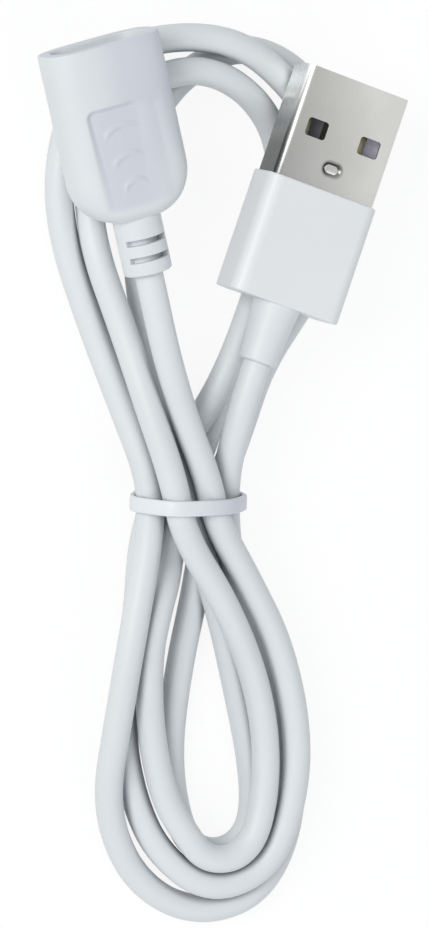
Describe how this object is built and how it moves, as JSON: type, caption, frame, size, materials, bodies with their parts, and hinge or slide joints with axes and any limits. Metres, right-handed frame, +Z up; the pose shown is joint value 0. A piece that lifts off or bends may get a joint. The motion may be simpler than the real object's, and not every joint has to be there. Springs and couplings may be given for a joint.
{
  "type": "usb charging cable",
  "caption": "Tied hank of round white charging cord with a flat metal USB plug in a white cover at one end and a white oval connector with ribbed grip and slotted strain relief at the other.",
  "frame": {"origin": "centre of the hank's outline, on the table it lies on", "axes": "+Y along the hank from the lower loop to the two connectors, +Z up from the table, +X to the right seen from above"},
  "size_m": [0.042, 0.1001, 0.0127],
  "materials": {
    "gloss_white": "gloss",
    "soft_white": "satin",
    "cord_white": "satin",
    "tie_white": "satin",
    "nickel_steel": "satin",
    "tongue_grey": "satin",
    "contact_gold": "satin",
    "inner_mould": "matte",
    "wire_red": "satin",
    "wire_black": "satin",
    "insert_grey": "matte"
  },
  "bodies": {
    "root": {"plug_cover": "gloss_white", "plug_strain_relief": "soft_white", "plug_shell": "nickel_steel", "plug_insulator": "tongue_grey", "plug_contact_power": "contact_gold", "plug_contact_data_minus": "contact_gold", "plug_contact_data_plus": "contact_gold", "plug_contact_ground": "contact_gold", "plug_inner_mould": "inner_mould", "plug_wire_power": "wire_red", "plug_wire_ground": "wire_black", "socket_overmould": "soft_white", "socket_insert": "insert_grey", "socket_contact_power": "contact_gold", "socket_contact_ground": "contact_gold", "socket_inner_mould": "inner_mould", "socket_wire_power": "wire_red", "socket_wire_ground": "wire_black", "cable_jacket": "cord_white", "cable_tie": "tie_white"}
  },
  "joints": []
}
